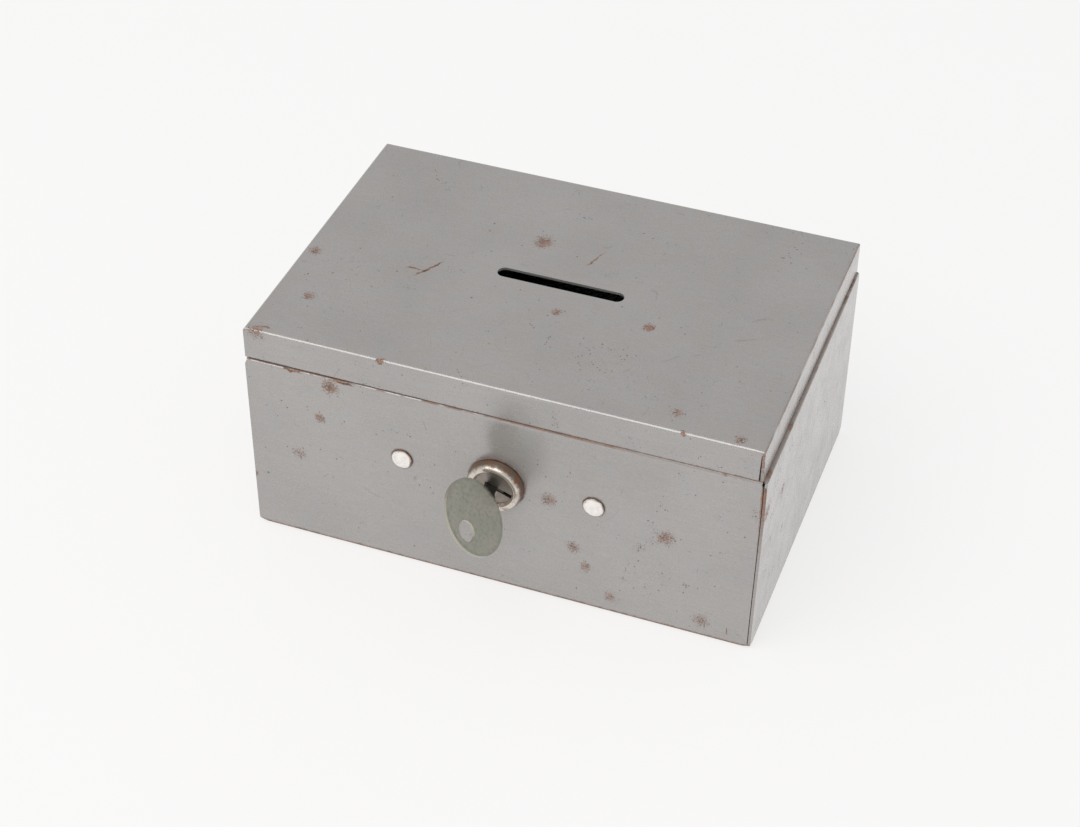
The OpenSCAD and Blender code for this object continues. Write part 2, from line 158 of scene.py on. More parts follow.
class Sheet:
    """Patches of quads in millimetres, joined along the edges that they share."""

    def __init__(self):
        self.bm = bmesh.new()

    def patch(self, rows, closed=False):
        made = [[self.bm.verts.new(p) for p in row] for row in rows]
        for a, b in zip(made, made[1:]):
            last = len(a) if closed else len(a) - 1
            for j in range(last):
                k = (j + 1) % len(a)
                corners = [a[j], a[k], b[k], b[j]]
                places = {tuple(round(c, 5) for c in v.co) for v in corners}
                if len(places) == 4:
                    self.bm.faces.new(corners)
                elif len(places) == 3:
                    self.bm.faces.new(self.three(corners))

    @staticmethod
    def three(corners):
        """The corners of a quad that has shrunk to a triangle."""
        kept, seen = [], set()
        for v in corners:
            place = tuple(round(c, 5) for c in v.co)
            if place not in seen:
                seen.add(place)
                kept.append(v)
        return kept

    def disc(self, row):
        self.bm.faces.new([self.bm.verts.new(p) for p in row])

    def weld(self):
        bmesh.ops.remove_doubles(self.bm, verts=self.bm.verts, dist=1e-4)
        bmesh.ops.recalc_face_normals(self.bm, faces=self.bm.faces)

    def build(self, name, material):
        """Scales the sheet to metres and makes the object."""
        bmesh.ops.scale(self.bm, vec=(MM, MM, MM), verts=self.bm.verts)
        mesh = bpy.data.meshes.new(name)
        self.bm.to_mesh(mesh)
        self.bm.free()
        obj = bpy.data.objects.new(name, mesh)
        bpy.context.scene.collection.objects.link(obj)
        obj.data.materials.append(material)
        return obj

    def make(self, name, body, material, near=None, facing=None, crisp=False):
        """Makes a piece that rides on a body. near and facing say which way one of its faces points."""
        self.weld()
        bm = self.bm
        if crisp:
            for edge in bm.edges:
                if len(edge.link_faces) == 2 and edge.calc_face_angle() > CRISP_ANGLE:
                    edge.smooth = False
        if near is not None:
            bm.faces.ensure_lookup_table()
            face = min(bm.faces, key=lambda f: (f.calc_center_median() - Vector(near)).length)
            if face.normal.dot(Vector(facing)) < 0:
                bmesh.ops.reverse_faces(bm, faces=bm.faces)
        obj = self.build(name, material)
        for polygon in obj.data.polygons:
            polygon.use_smooth = True
        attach(obj, body)
        return obj


def thicken(obj, thickness, offset=-1.0):
    solid = obj.modifiers.new("thickness", "SOLIDIFY")
    solid.thickness = thickness * MM
    solid.offset = offset
    solid.use_even_offset = True
    solid.use_quality_normals = True


def round_edges(obj, width, segments=2, angle=40):
    bevel = obj.modifiers.new("rounding", "BEVEL")
    bevel.width = width * MM
    bevel.segments = segments
    bevel.limit_method = "ANGLE"
    bevel.angle_limit = math.radians(angle)
    bevel.harden_normals = True


def ring_between(inner, outer, count, power=1.0):
    """Closed rows from one outline to another with as many points. A power above 1 crowds the inner rows."""
    rows = []
    for k in range(count + 1):
        t = (k / count) ** power
        rows.append([tuple(mix(a[i], b[i], t) for i in range(3)) for a, b in zip(inner, outer)])
    return rows


def lathe(sheet, profile, place, turns=96):
    """Turns a profile of (radius, depth) round an axis and closes its last ring with a face.

    place gives a point from its radius, depth and angle.
    """
    rows = [[place(r, d, 2 * math.pi * j / turns) for j in range(turns)] for r, d in profile]
    sheet.patch(rows, closed=True)
    sheet.disc(rows[-1])


def arc(cx, cy, r, start, end, count):
    """Points on an arc, with angles in degrees."""
    return [
        (cx + r * math.cos(math.radians(a)), cy + r * math.sin(math.radians(a)))
        for a in steps(count, start, end)
    ]


# ---------------------------------------------------------------- lid and body

ALONG_X = steps(64)
ALONG_Y = steps(44)
# Each side's direction outwards, its direction along the wall, and the steps along it.
SIDES = {
    "front": (Vector((0, -1)), Vector((1, 0)), ALONG_X),
    "right": (Vector((1, 0)), Vector((0, 1)), ALONG_Y),
    "back": (Vector((0, 1)), Vector((-1, 0)), ALONG_X),
    "left": (Vector((-1, 0)), Vector((0, -1)), ALONG_Y),
}


def slot_outline(length, width):
    """The coin slot's outline, with one point for each point of the lid's rim from its front left corner."""
    end = 12
    nx, ny = len(ALONG_X) - 1, len(ALONG_Y) - 1
    half, r = (length - width) / 2, width / 2
    straight, turn = nx - 2 * end, ny + 2 * end
    points = [(mix(-half, half, i / straight), -r) for i in range(straight)]
    points += arc(half, 0, r, -90, 90, turn)[:-1]
    points += [(mix(half, -half, i / straight), r) for i in range(straight)]
    points += arc(-half, 0, r, 90, 270, turn)[:-1]
    return points[-end:] + points[:-end]


def sag(x, y):
    """How far the lid's top lies below its edges, most in the middle."""
    return LID_SAG * (1 - (x / LID_X) ** 2) * (1 - (y / LID_Y) ** 2)


def lid_point(side, t, inward, cut_low, cut_high, z):
    out, along, _ = SIDES[side]
    reach = (LID_X, LID_Y) if side in ("front", "back") else (LID_Y, LID_X)
    s = mix(-(reach[0] - cut_low), reach[0] - cut_high, (t + 1) / 2)
    p = out * (reach[1] - inward) + along * s
    return (p.x + LID_CX, p.y, z)


def lid_shell():
    """Folded lid: top with its slot, rounded folds and a skirt whose corners are left open."""
    sheet = Sheet()
    rim = []
    for side, (_, _, ts) in SIDES.items():
        rim += [lid_point(side, t, BEND_R, BEND_R, BEND_R, LID_TOP) for t in ts[:-1]]
    slot = [(x, y, LID_TOP) for x, y in slot_outline(SLOT_L, SLOT_W)]
    rows = ring_between(slot, rim, 16, 1.4)
    sheet.patch([[(x, y, z - sag(x - LID_CX, y)) for x, y, z in row] for row in rows], closed=True)
    fold = LID_TOP - BEND_R
    skirt = [fold - 0.45] + steps(4, fold - 1.5, fold - 7.5) + [fold - 8.4, SPLIT_Z]
    for side, (_, _, ts) in SIDES.items():
        rows = []
        for a in steps(8, 0, 90):
            inward = BEND_R * (1 - math.sin(math.radians(a)))
            z = fold + BEND_R * math.cos(math.radians(a))
            rows.append([lid_point(side, t, inward, inward, inward, z) for t in ts])
        for z in skirt:
            drop = (fold - z) / (fold - SPLIT_Z)
            low, high = seams(side, mix(LID_SEAM, LID_SEAM_WIDE, drop) if side == "front" else LID_SEAM)
            rows.append([lid_point(side, t, 0, low, high, z) for t in ts])
        sheet.patch(rows)
    obj = sheet.make("lid_shell_sheet", "lid", lid_enamel, (0, 20, LID_TOP), (0, 0, 1))
    thicken(obj, SHEET_T)
    round_edges(obj, 0.16)
    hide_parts("lid_shell")


def flare(side, y, z):
    """How far a side wall stands inside the body's widest place: both bulge towards their top edges.

    The right wall bulges most at its front end, and the left one, less, in its middle.
    """
    if side > 0:
        bulge = ((BODY_Y - y) / (2 * BODY_Y)) ** 0.7
    else:
        bulge = 0.6 * (1 - (y / BODY_Y) ** 2)
    return BULGE * (1 - bulge * smooth(-6, 56, z))


def body_point(side, t, inward, cuts, z):
    """A point on a wall. Walls left and right bulge, and those in front and behind end at them."""
    if side in ("left", "right"):
        sign = 1 if side == "right" else -1
        y = sign * mix(cuts[0] - BODY_Y, BODY_Y - cuts[1], (t + 1) / 2)
        free = 1 - smooth(SHOULDER_R, LEDGE_W, inward)
        return (sign * (BODY_X - inward - mix(LEDGE_IN, flare(sign, y, z), free)), y, z)
    sign = -1 if side == "front" else 1
    y = sign * (BODY_Y - inward)
    ends = [end * (BODY_X - cut - flare(end, y, z)) for cut, end in zip(cuts, (sign, -sign))]
    return (mix(ends[0], ends[1], (t + 1) / 2), y, z)


def front_dip(x):
    """The front wall's top edge lies a little lower towards the left, and higher towards the right."""
    return 0.28 * smooth(38, 60, -x) - 0.17 * smooth(0, 30, x)


def seams(side, gap):
    """How far a wall stops short of the box's corners: side walls run through, but not at the front left."""
    return {
        "front": (0.0, SHEET_T + gap),
        "right": (0.0, 0.0),
        "back": (SHEET_T + gap, SHEET_T + gap),
        "left": (0.0, SHEET_T + 0.1),
    }[side]


def wall_foot(side, ts):
    """Rows of a wall round the bend at its foot."""
    rows = []
    for a in steps(6, 0, 90):
        inward = BEND_R * (1 - math.sin(math.radians(a)))
        z = BEND_R * (1 - math.cos(math.radians(a)))
        rows.append([body_point(side, t, inward, (inward, inward), z) for t in ts])
    return rows


def wall_face(side, ts):
    """Rows of a wall from its foot up to its shoulder, near which the seams open wider."""
    gaps = seams(side, BODY_SEAM)
    shoulder = BODY_TOP - SHOULDER_R
    rows = []
    for z in [BEND_R + 0.5] + steps(18, BEND_R + 2, shoulder - 1.2) + [shoulder - 0.5, shoulder]:
        more = 0.5 * smooth(shoulder - 1.3, shoulder, z)
        rows.append([body_point(side, t, 0, [gap + more for gap in gaps], z) for t in ts])
    return rows


def wall_top(side, ts):
    """Rows of a wall over its shoulder, along the ledge and up the neck."""
    shoulder_cuts = [max(gap + 0.4, 0.6) for gap in seams(side, BODY_SEAM)]
    neck_cuts = [LEDGE_W + gap + 0.1 for gap in seams(side, NECK_SEAM)]
    mitre = 0.12
    rows = []
    for a in steps(5, 0, 90)[1:]:
        inward = SHOULDER_R * (1 - math.cos(math.radians(a)))
        z = BODY_TOP - SHOULDER_R * (1 - math.sin(math.radians(a)))
        rows.append([body_point(side, t, inward, shoulder_cuts, z) for t in ts])
    for inward in (1.4, 1.9):
        rows.append([body_point(side, t, inward, (inward + mitre,) * 2, BODY_TOP) for t in ts])
    for a in steps(4, 0, 90):
        inward = LEDGE_W - NECK_BEND_R * (1 - math.sin(math.radians(a)))
        z = BODY_TOP + NECK_BEND_R * (1 - math.cos(math.radians(a)))
        cuts = [mix(inward + mitre, cut, a / 90) for cut in neck_cuts]
        rows.append([body_point(side, t, inward, cuts, z) for t in ts])
    for z in steps(3, BODY_TOP + 1, NECK_TOP):
        rows.append([body_point(side, t, LEDGE_W, neck_cuts, z) for t in ts])
    return rows


def dipped(rows):
    """Rows of the front wall, shifted by its uneven top edge, and less and less so up the neck."""
    low, high = BODY_TOP + 0.5, NECK_TOP - 0.5
    return [[(x, y, z - front_dip(x) * (1 - smooth(low, high, z))) for x, y, z in row] for row in rows]


def body_rows(side, ts):
    """Rows of one wall, from the bottom's edge up to the top of the neck, in three runs."""
    low, wall, high = wall_foot(side, ts), wall_face(side, ts), wall_top(side, ts)
    if side == "front":
        wall[-1:] = dipped(wall[-1:])
        high = dipped(high)
    return low, wall, high


def crushed(x, y, z):
    """Pulls in the bottom's four corners, which the folding has rounded."""
    reach = 1.8
    near = 1 - smooth(0, reach, math.hypot(BODY_X - abs(x), BODY_Y - abs(y)) / 1.5)
    low = 1 - smooth(0, reach, z)
    pull = 0.5 * near * low
    return (x - math.copysign(pull, x), y - math.copysign(pull, y), z + 0.25 * near * low * low)


def wall_with_hole(sheet, wall, radius):
    """The front wall as rings that run from the lock's hole out to its edges."""
    bottom, top = wall[0], wall[-1]
    outer = bottom[:-1] + [row[-1] for row in wall[:-1]] + top[:0:-1] + [row[0] for row in wall[:0:-1]]
    inner = []
    for x, y, z in outer:
        away = Vector((x, z - LOCK_Z)).normalized() * radius
        inner.append((away.x, FRONT_Y, LOCK_Z + away.y))
    sheet.patch(ring_between(inner, outer, 14, 1.3), closed=True)


def body_tray():
    """Folded tray: bottom, four walls that meet at open seams, ledge and neck."""
    sheet = Sheet()
    floor_rows = []
    for t in ALONG_Y:
        y = t * (BODY_Y - BEND_R)
        left = body_point("left", -t, BEND_R, (BEND_R, BEND_R), 0)[0]
        right = body_point("right", t, BEND_R, (BEND_R, BEND_R), 0)[0]
        floor_rows.append([(mix(left, right, (s + 1) / 2), y, 0) for s in ALONG_X])
    sheet.patch(floor_rows)
    for side, (_, _, ts) in SIDES.items():
        low, wall, high = body_rows(side, ts)
        sheet.patch(low)
        sheet.patch([low[-1], wall[0]])
        if side == "front":
            wall_with_hole(sheet, wall, BARREL_R + BARREL_PLAY)
        else:
            sheet.patch(wall)
        sheet.patch([wall[-1]] + high)
    for v in sheet.bm.verts:
        v.co = crushed(*v.co)
    obj = sheet.make("body_tray_sheet", "case", body_enamel, (0, 0, 0), (0, 0, -1))
    thicken(obj, SHEET_T)
    round_edges(obj, 0.14)
    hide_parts("body_tray")


# ---------------------------------------------------------------- lock, rivets and key


def round_lock(r, y, a):
    """A point round the lock's axis."""
    return (r * math.cos(a), y, LOCK_Z + r * math.sin(a))


def bore(a):
    """Radius of the bore where the wafers' crossed grooves cut into it."""
    u = max(1e-6, abs(math.cos(a - KEYWAY_ANGLE)))
    v = max(1e-6, abs(math.sin(a - KEYWAY_ANGLE)))
    flat = min(GROOVE_REACH / u, GROOVE_HALF / v)
    upright = min(GROOVE_REACH / v, GROOVE_HALF / u)
    return max(BORE_R, flat, upright)


def bezel_profile():
    """Radius and depth of the bezel, from the wall round its soft convex front and into the bore."""
    side = FRONT_Y - BEZEL_SIDE
    profile = [(BARREL_R, FRONT_Y), (BEZEL_R - 0.35, FRONT_Y), (BEZEL_R - 0.3, FRONT_Y - 0.12)]
    profile += [(BEZEL_R - 0.1, FRONT_Y - 0.2), (BEZEL_R, FRONT_Y - 0.4), (BEZEL_R, side + 0.35)]
    profile += [(CREST_R + CREST_W, side)]
    for a in steps(14, 6, 84):
        turn = math.radians(a)
        profile.append((CREST_R + CREST_W * math.cos(turn), side - (side - RIM_Y) * math.sin(turn)))
    profile += [(MOUTH_R + 0.7, RIM_Y), (MOUTH_R + 0.35, RIM_Y)]
    profile += [(MOUTH_R + 0.17, RIM_Y + 0.05), (MOUTH_R + 0.05, RIM_Y + 0.18), (MOUTH_R, RIM_Y + 0.4)]
    profile += [(LIP_R, FACE_Y - 0.12), (LIP_R, FACE_Y - 0.04), (RECESS_R, FACE_Y - 0.04)]
    return profile + [(RECESS_R, FACE_Y + 1.05), (BORE_R, FACE_Y + 1.06)]


def thread_rows(angles):
    """Rings along the barrel's outside from its end to the wall, waved by the thread."""
    start, count = FRONT_Y + 2.2, 150
    rows = []
    for y in steps(count, BARREL_END, start):
        depth = THREAD_DEPTH * min(1.0, (y - start) / 0.6)
        turns = [2 * math.pi * y / THREAD_PITCH - a for a in angles]
        radii = [BARREL_R - depth * (0.5 - 0.5 * math.cos(turn)) for turn in turns]
        rows.append([round_lock(r, y, a) for r, a in zip(radii, angles)])
    return rows


def lock_housing():
    """Bezel with a soft convex front, and the threaded barrel with its bore."""
    sheet = Sheet()
    around = 120
    angles = [2 * math.pi * j / around for j in range(around)]
    groove_y, groove_middle = FRONT_Y + 0.4, -40
    rows = [[round_lock(r, y, a) for a in angles] for r, y in bezel_profile() + [(BORE_R, groove_y)]]
    rows += [[round_lock(bore(a), y, a) for a in angles] for y in (groove_y, groove_middle, BARREL_END)]
    rows.append([round_lock(BARREL_R - 0.35, BARREL_END, a) for a in angles])
    rows += thread_rows(angles)
    rows.append(rows[0])
    sheet.patch(rows, closed=True)
    obj = sheet.make(
        "lock_housing_turned", "case", bezel_nickel, (6.5, RIM_Y, LOCK_Z), (0, -1, 0), crisp=True
    )
    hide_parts("lock_housing")


def lock_rivets():
    """Two low, flat-domed rivets with their set tails behind the plate."""
    sheet = Sheet()
    back = RIVETS_HIGH.y
    top_out = FRONT_Y - RIVETS_LOW.y
    dome_r, dome_out = RIVET_R - RIVET_ROUND, 0.62
    head = [(SHANK_R, FRONT_Y), (RIVET_R - 0.15, FRONT_Y), (RIVET_R, FRONT_Y - 0.14)]
    head += [(dome_r + out, FRONT_Y - 0.3 - up) for out, up in arc(0, 0, RIVET_ROUND, 0, 80, 6)]
    for r in (2.6, 2.2, 1.8, 1.3, 0.8, 0.3, 0.05):
        head.append((r, FRONT_Y - mix(top_out, dome_out, (r / dome_r) ** 2.4)))
    tail = [(SHANK_R, FRONT_Y), (SHANK_R, back - 0.8), (TAIL_R - 0.2, back - 0.8), (TAIL_R, back - 0.6)]
    tail += [(TAIL_R - 0.2, back - 0.25), (2.0, back - 0.06), (1.2, back), (0.05, back)]
    for sign in (-1, 1):

        def place(r, y, a):
            return (sign * RIVET_X + r * math.cos(a), y, LOCK_Z + r * math.sin(a))

        lathe(sheet, head, place)
        lathe(sheet, tail, place)
    obj = sheet.make("lock_rivets_domed", "case", rivet_nickel, crisp=True)
    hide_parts("lock_rivets")


def key_point(u, y):
    """A point on the key's middle sheet: flat in the keyway, wrung round in the neck, flat in the bow."""
    a = mix(KEYWAY_ANGLE, BOW_ANGLE, smooth(0, NECK_L, NECK_Y - y))
    return (u * math.cos(a), y, LOCK_Z + u * math.sin(a))


def cut_depth(y):
    """How deep the blade is cut at y."""
    return max(0.0, *(depth - max(0.0, abs(y - at) - CUT_HALF) for depth, at in zip(CUTS, WAFER_YS)))


def bow_rings(joint_row):
    """Rings from the bow's hole out to its outline, which starts along the row where the neck joins."""
    around = 110
    ends = [math.asin((u - BOW_U) / BOW_R) for u, _ in (joint_row[0], joint_row[-1])]
    start, end = math.pi / 2 - ends[1], math.pi / 2 - ends[0]
    outline = list(joint_row)
    for a in steps(around, start, end - 2 * math.pi):
        outline.append((BOW_U + BOW_R * math.cos(a), BOW_Y + BOW_R * math.sin(a)))
    hole = []
    for u, y in outline:
        away = Vector((u - HOLE_U, y - HOLE_Y)).normalized() * HOLE_R
        hole.append((HOLE_U + away.x, HOLE_Y + away.y))
    rings = ring_between([(u, y, 0) for u, y in hole], [(u, y, 0) for u, y in outline], 12, 0.9)
    return [[key_point(u, y) for u, y, _ in row] for row in rings]


def blade_rows(across):
    """Rows of the blade, with its cuts, from the neck to the slanted tip."""
    tip, slope = TIP_Y - 0.12, 2.2
    ys = set(steps(30, NECK_Y + 0.05, tip))
    for depth, at in zip(CUTS, WAFER_YS):
        ys |= {at - CUT_HALF - depth, at - CUT_HALF, at + CUT_HALF, at + CUT_HALF + depth}
    rows = []
    for y in sorted(y for y in ys if NECK_Y < y <= tip):
        rise = max(0.0, y - (TIP_Y - slope)) / slope
        low = BLADE_U0 + slope * rise
        high = mix(BLADE_U1, BLADE_U0 + slope, rise) - cut_depth(y) * (1 - rise)
        rows.append([key_point(u, y) for u in steps(across, low, high)])
    return rows


def key():
    """Flat key: round bow with its ring hole, narrow wrung neck and cut blade."""
    sheet = Sheet()
    across = 10
    join = BOW_Y + BOW_R + 0.15
    joint_row = [(u, join) for u in steps(across, NECK_U0 - NECK_ROOT, NECK_U1 + NECK_ROOT)]
    sheet.patch(bow_rings(joint_row), closed=True)
    rows = []
    for y in steps(14, join, NECK_Y):
        wide = NECK_ROOT * max(0.0, 1 - (y - join)) ** 2
        rows.append([key_point(u, y) for u in steps(across, NECK_U0 - wide, NECK_U1 + wide)])
    sheet.patch(rows + blade_rows(across))
    obj = sheet.make("key_steel_flat", "key", key_steel)
    thicken(obj, KEY_T, 0)
    round_edges(obj, 0.28, 3)
    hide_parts("key")


# ---------------------------------------------------------------- materials


class Look:
    """A procedural material laid out in millimetres in the CAD frame."""

    def __init__(self, name):
        self.made = bpy.data.materials.new(name)
        self.made.use_nodes = True
        self.nodes = self.made.node_tree.nodes
        self.links = self.made.node_tree.links
        self.bsdf = self.nodes["Principled BSDF"]
        coords = self.nodes.new("ShaderNodeTexCoord")
        self.facing = coords.outputs["Normal"]
        self.place = self.vector("MULTIPLY", coords.outputs["Object"], (1 / MM,) * 3)
        self.x, self.y, self.z = self.parts(self.place)
        self.height = 0.0

    def set(self, socket, value):
        if isinstance(value, bpy.types.NodeSocket):
            self.links.new(value, socket)
        else:
            socket.default_value = value

    def parts(self, value):
        node = self.nodes.new("ShaderNodeSeparateXYZ")
        self.set(node.inputs[0], value)
        return node.outputs

    def join(self, x, y):
        """A flat vector made of two numbers."""
        node = self.nodes.new("ShaderNodeCombineXYZ")
        self.set(node.inputs[0], x)
        self.set(node.inputs[1], y)
        return node.outputs[0]

    def math(self, operation, a, b=0.0):
        node = self.nodes.new("ShaderNodeMath")
        node.operation = operation
        self.set(node.inputs[0], a)
        self.set(node.inputs[1], b)
        return node.outputs[0]

    def plus(self, a, b):
        return self.math("ADD", a, b)

    def minus(self, a, b):
        return self.math("SUBTRACT", a, b)

    def times(self, a, b):
        return self.math("MULTIPLY", a, b)

    def most(self, *values):
        found = values[0]
        for value in values[1:]:
            found = self.math("MAXIMUM", found, value)
        return found

    def vector(self, operation, a, b=(0.0, 0.0, 0.0), scale=1.0):
        node = self.nodes.new("ShaderNodeVectorMath")
        node.operation = operation
        self.set(node.inputs[0], a)
        self.set(node.inputs[1], b)
        if operation == "SCALE":
            self.set(node.inputs["Scale"], scale)
        return node.outputs["Value" if operation in ("DOT_PRODUCT", "LENGTH", "DISTANCE") else "Vector"]

    def fade(self, value, zero, one, low=0.0, high=1.0):
        """low where value is at zero, high where it is at one."""
        node = self.nodes.new("ShaderNodeMapRange")
        node.interpolation_type = "SMOOTHSTEP"
        for socket, v in zip(node.inputs, (value, zero, one, low, high)):
            self.set(socket, v)
        return node.outputs[0]

    def band(self, value, place, width):
        """1 where a number is at a place, 0 further away than width."""
        return self.fade(self.math("ABSOLUTE", self.minus(value, place)), width, width * 0.3)

    def noise(self, size, detail=3.0, rough=0.5, stretch=(1, 1, 1), colour=False):
        """Noise whose spots are about size across; stretch lengthens them along an axis."""
        node = self.nodes.new("ShaderNodeTexNoise")
        place = self.vector("MULTIPLY", self.place, tuple(1 / (size * s) for s in stretch))
        self.set(node.inputs["Vector"], place)
        node.inputs["Scale"].default_value = 1.0
        node.inputs["Detail"].default_value = detail
        node.inputs["Roughness"].default_value = rough
        return node.outputs["Color" if colour else "Fac"]

    def specks(self, spacing, radius, share, ragged):
        """Scattered specks: one in each cell of the given spacing, in the given share of cells."""
        rare = self.minus(1.0, share)
        node = self.nodes.new("ShaderNodeTexVoronoi")
        self.set(node.inputs["Vector"], self.place)
        node.inputs["Scale"].default_value = 1 / spacing
        luck = self.parts(node.outputs["Color"])[0]
        size = self.fade(luck, rare, self.plus(rare, 0.08), 0.0, radius)
        away = self.times(node.outputs["Distance"], spacing)
        rim = self.minus(size, self.plus(away, ragged))
        return self.fade(rim, -0.02, 0.1)

    def mix(self, factor, a, b):
        node = self.nodes.new("ShaderNodeMix")
        node.data_type = "RGBA"
        self.set(node.inputs[0], factor)
        self.set(node.inputs[6], (*a, 1.0) if isinstance(a, tuple) else a)
        self.set(node.inputs[7], (*b, 1.0) if isinstance(b, tuple) else b)
        return node.outputs[2]

    def shade(self, colour, factor):
        """A colour made darker or lighter by a number."""
        if isinstance(colour, tuple):
            colour = self.mix(0.0, colour, colour)
        return self.vector("SCALE", colour, scale=factor)

    def raise_by(self, mask, height):
        """Adds to the surface's relief, in millimetres."""
        self.height = self.plus(self.height, self.times(mask, height))

    def finish(self, colour, metallic, roughness):
        self.set(self.bsdf.inputs["Base Color"], colour)
        self.set(self.bsdf.inputs["Metallic"], metallic)
        self.set(self.bsdf.inputs["Roughness"], roughness)
        bump = self.nodes.new("ShaderNodeBump")
        bump.inputs["Distance"].default_value = MM
        self.set(bump.inputs["Height"], self.height)
        self.links.new(bump.outputs[0], self.bsdf.inputs["Normal"])
        return self.made

    def ovals(self, marks, ragged, found=0.0):
        """Long ovals with a ragged rim, on the lid's top or the front wall.

        Each mark has its two ends, its half width and its strength.
        """
        for a, b, width, strength in marks:
            a, b = Vector(a), Vector(b)
            line = b - a
            node = self.nodes.new("ShaderNodeMapping")
            node.vector_type = "TEXTURE"
            self.set(node.inputs["Vector"], self.wavy)
            node.inputs["Location"].default_value = (a + b) / 2
            half = line.length / 2 + width
            if abs(a.z - LID_TOP) < 1e-6:
                turn, size = (0.0, 0.0, math.atan2(line.y, line.x)), (half, width, MARK_DEPTH)
            else:
                turn, size = (0.0, -math.atan2(line.z, line.x), 0.0), (half, MARK_DEPTH, width)
            node.inputs["Rotation"].default_value = turn
            node.inputs["Scale"].default_value = size
            away = self.plus(self.vector("LENGTH", node.outputs[0]), ragged)
            found = self.fade(away, 1.0, 0.3, found, strength)
        return found

    def patches(self, marks, found=0.0):
        """Round patches with a soft rim: each mark has its centre, radius and strength."""
        for centre, radius, strength in marks:
            away = self.vector("DISTANCE", self.wavy, tuple(centre))
            found = self.fade(away, PATCH_SPREAD * radius, 0.0, found, strength)
        return found


RUST_DARK = (0.075, 0.032, 0.018)
RUST = (0.21, 0.088, 0.042)
RUST_PALE = (0.36, 0.22, 0.15)
GRIME = (0.055, 0.045, 0.04)
STAIN = (0.27, 0.205, 0.18)
PAINT_WARM = (0.405, 0.387, 0.374)
PAINT_COOL = (0.385, 0.378, 0.372)
BROWN = (0.15, 0.115, 0.09)
BROWN_RED = (0.2, 0.1, 0.05)
BROWN_SPECK = (0.16, 0.09, 0.055)
BROWN_DARK = (0.06, 0.035, 0.025)
WALL_SHADE_BLACK = (0.02, 0.012, 0.009)
KEY_GREY = (0.37, 0.378, 0.322)
KEY_PALE = (0.43, 0.415, 0.365)
KEY_GREEN = (0.25, 0.275, 0.21)
KEY_SHADE = (0.20, 0.22, 0.18)
KEY_GLINT = (0.48, 0.48, 0.42)
KEY_WORN = (0.50, 0.46, 0.39)
KEY_NECK_SHADOW = (0.028, 0.03, 0.028)
PATCH_SPREAD = 1.6
MARK_DEPTH = 2.0


def placed(marks, put):
    """The marks, with each place on a face turned into a point."""
    return [[put(*value) if isinstance(value, tuple) else value for value in mark] for mark in marks]


def on_top(*marks):
    """Marks on the lid's top, placed in parts of its half width and half depth from its middle."""
    return placed(marks, lambda x, y: (LID_CX + x * LID_X, y * LID_Y, LID_TOP))


def on_front(*marks):
    """Marks on the front wall, placed in parts of its half width and of its height."""
    return placed(marks, lambda x, z: (x * BODY_X, FRONT_Y, z * BODY_TOP))


def on_right(*marks):
    """Marks on the right wall, placed in parts of its half depth and of its height."""
    return placed(marks, lambda y, z: (BODY_X, y * BODY_Y, z * BODY_TOP))


# A forked scratch left of the slot, a short one behind it, and a chip at the front left corner.
LID_SCRATCHES = on_top(
    ((-0.6, -0.15), (-0.5, -0.15), 0.5, 1.0),
    ((-0.55, -0.25), (-0.45, 0.0), 0.5, 1.0),
    ((0.05, 0.2), (0.1, 0.4), 0.5, 1.0),
    ((-0.95, -0.95), (-0.9, -0.95), 0.5, 1.0),
)
# Rust round the slot, along the left edge, at the front corners and fold, and two wide faint stains.
LID_PATCHES = on_top(
    ((-0.15, 0.35), 3.5, 1.0),
    ((0.4, -0.2), 2.0, 1.2),
    ((0.05, -0.25), 2.0, 0.9),
    ((-0.95, -0.2), 2.5, 0.9),
    ((-0.85, -0.6), 2.0, 0.9),
    ((-0.95, -1.0), 3.0, 0.9),
    ((0.65, -0.85), 2.0, 0.9),
    ((0.9, -0.95), 2.0, 0.9),
    ((-0.45, -1.0), 1.5, 1.4),
    ((0.7, -1.0), 1.0, 1.4),
    ((-0.7, -0.5), 12.0, 0.16),
    ((0.3, -0.6), 14.0, 0.18),
)
# Bare metal along the wall's upper edge, left of the lock, and a short scratch at its lower right.
BODY_SCRATCHES = on_front(
    ((-0.85, 0.99), (-0.75, 0.99), 0.6, 1.0),
    ((-0.65, 0.99), (-0.55, 0.99), 0.6, 1.0),
    ((0.9, 0.05), (0.9, 0.1), 0.4, 1.0),
)
# Rust on the front wall, left and right of the lock, with one wide faint stain, and on the right wall.
BODY_PATCHES = on_front(
    ((-0.65, 0.95), 3.0, 1.0),
    ((-0.7, 0.75), 2.0, 0.9),
    ((-1.0, 0.3), 1.5, 1.2),
    ((-0.8, 0.5), 2.5, 0.6),
    ((0.2, 0.6), 3.0, 0.8),
    ((0.65, 0.55), 3.0, 1.0),
    ((0.55, 0.45), 2.0, 0.9),
    ((0.3, 0.35), 2.5, 0.9),
    ((0.35, 0.25), 2.0, 0.9),
    ((0.45, 0.1), 2.5, 0.8),
    ((0.8, 0.1), 3.0, 0.8),
    ((0.6, 0.3), 13.0, 0.2),
) + on_right(
    ((-0.95, 0.8), 3.5, 0.8),
    ((-0.6, 0.7), 2.5, 0.8),
    ((-0.5, 0.4), 2.0, 0.7),
)


def enamel_specks(look, field, ragged):
    """Fine specks, which crowd where field is high and along trails, and sparse larger pits."""
    crowd = look.fade(look.noise(15, 3.0), 0.42, 0.66, 0.0, 0.06)
    trail = look.band(look.noise(16, 1.5), 0.5, 0.016)
    trail = look.times(trail, look.fade(look.noise(11, 1.0), 0.45, 0.6))
    share = look.plus(look.plus(look.times(field, 0.45), crowd), look.times(trail, 0.4))
    fine = look.specks(0.8, 0.28, share, look.times(ragged, 0.3))
    pits = look.specks(7, 0.4, 0.3, look.times(ragged, 0.5))
    return fine, pits


